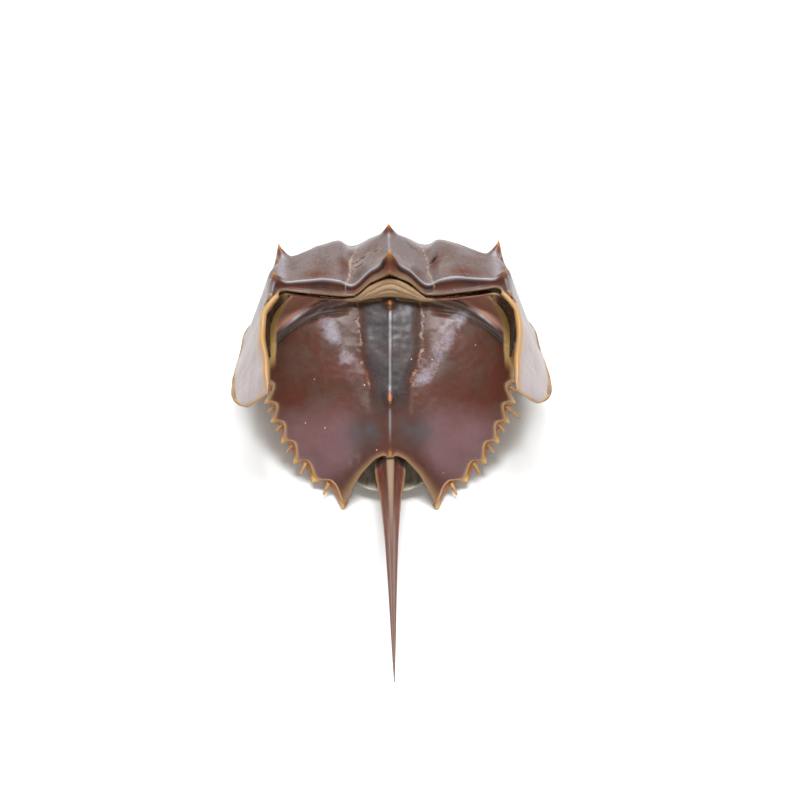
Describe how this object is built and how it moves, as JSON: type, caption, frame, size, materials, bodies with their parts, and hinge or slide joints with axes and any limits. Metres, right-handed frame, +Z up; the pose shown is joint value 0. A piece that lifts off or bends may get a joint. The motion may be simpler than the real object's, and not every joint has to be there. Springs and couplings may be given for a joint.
{
  "type": "horseshoe crab shell",
  "caption": "Small dried horseshoe crab shell: spined, keeled head shield arched down at the hinge over a toothed tail plate, with a long raised tail spine.",
  "frame": {"origin": "middle of the flat strip under the front rim, on which the shell rests, on the plane that it stands on", "axes": "+Z up, +Y towards the head's front rim, -Y along the tail spine, +X to the animal's right"},
  "size_m": [0.0592, 0.1093, 0.0308],
  "materials": {
    "head_horn": "dried horn, mauve-brown with grey bloom, satin gloss",
    "plate_horn": "dried horn, maroon-brown, glossy with fine grain and dust",
    "spine_horn": "dried horn, dark red-brown faces with a pale keel",
    "hinge_skin": "wrinkled tan skin",
    "amber_horn": "translucent amber horn",
    "gill_leaf": "thin grey-green dried leaf"
  },
  "bodies": {
    "root": {"prosoma": "head_horn", "opisthosoma": "plate_horn", "telson": "spine_horn", "hinge_membrane": "hinge_skin", "movable_spine_left_1": "amber_horn", "movable_spine_left_2": "amber_horn", "movable_spine_left_3": "amber_horn", "movable_spine_left_4": "amber_horn", "movable_spine_left_5": "amber_horn", "movable_spine_left_6": "amber_horn", "movable_spine_right_1": "amber_horn", "movable_spine_right_2": "amber_horn", "movable_spine_right_3": "amber_horn", "movable_spine_right_4": "amber_horn", "movable_spine_right_5": "amber_horn", "movable_spine_right_6": "amber_horn", "genital_operculum": "gill_leaf", "gill_plate_1": "gill_leaf", "gill_plate_2": "gill_leaf", "gill_plate_3": "gill_leaf", "gill_plate_4": "gill_leaf", "gill_plate_5": "gill_leaf"}
  },
  "joints": []
}
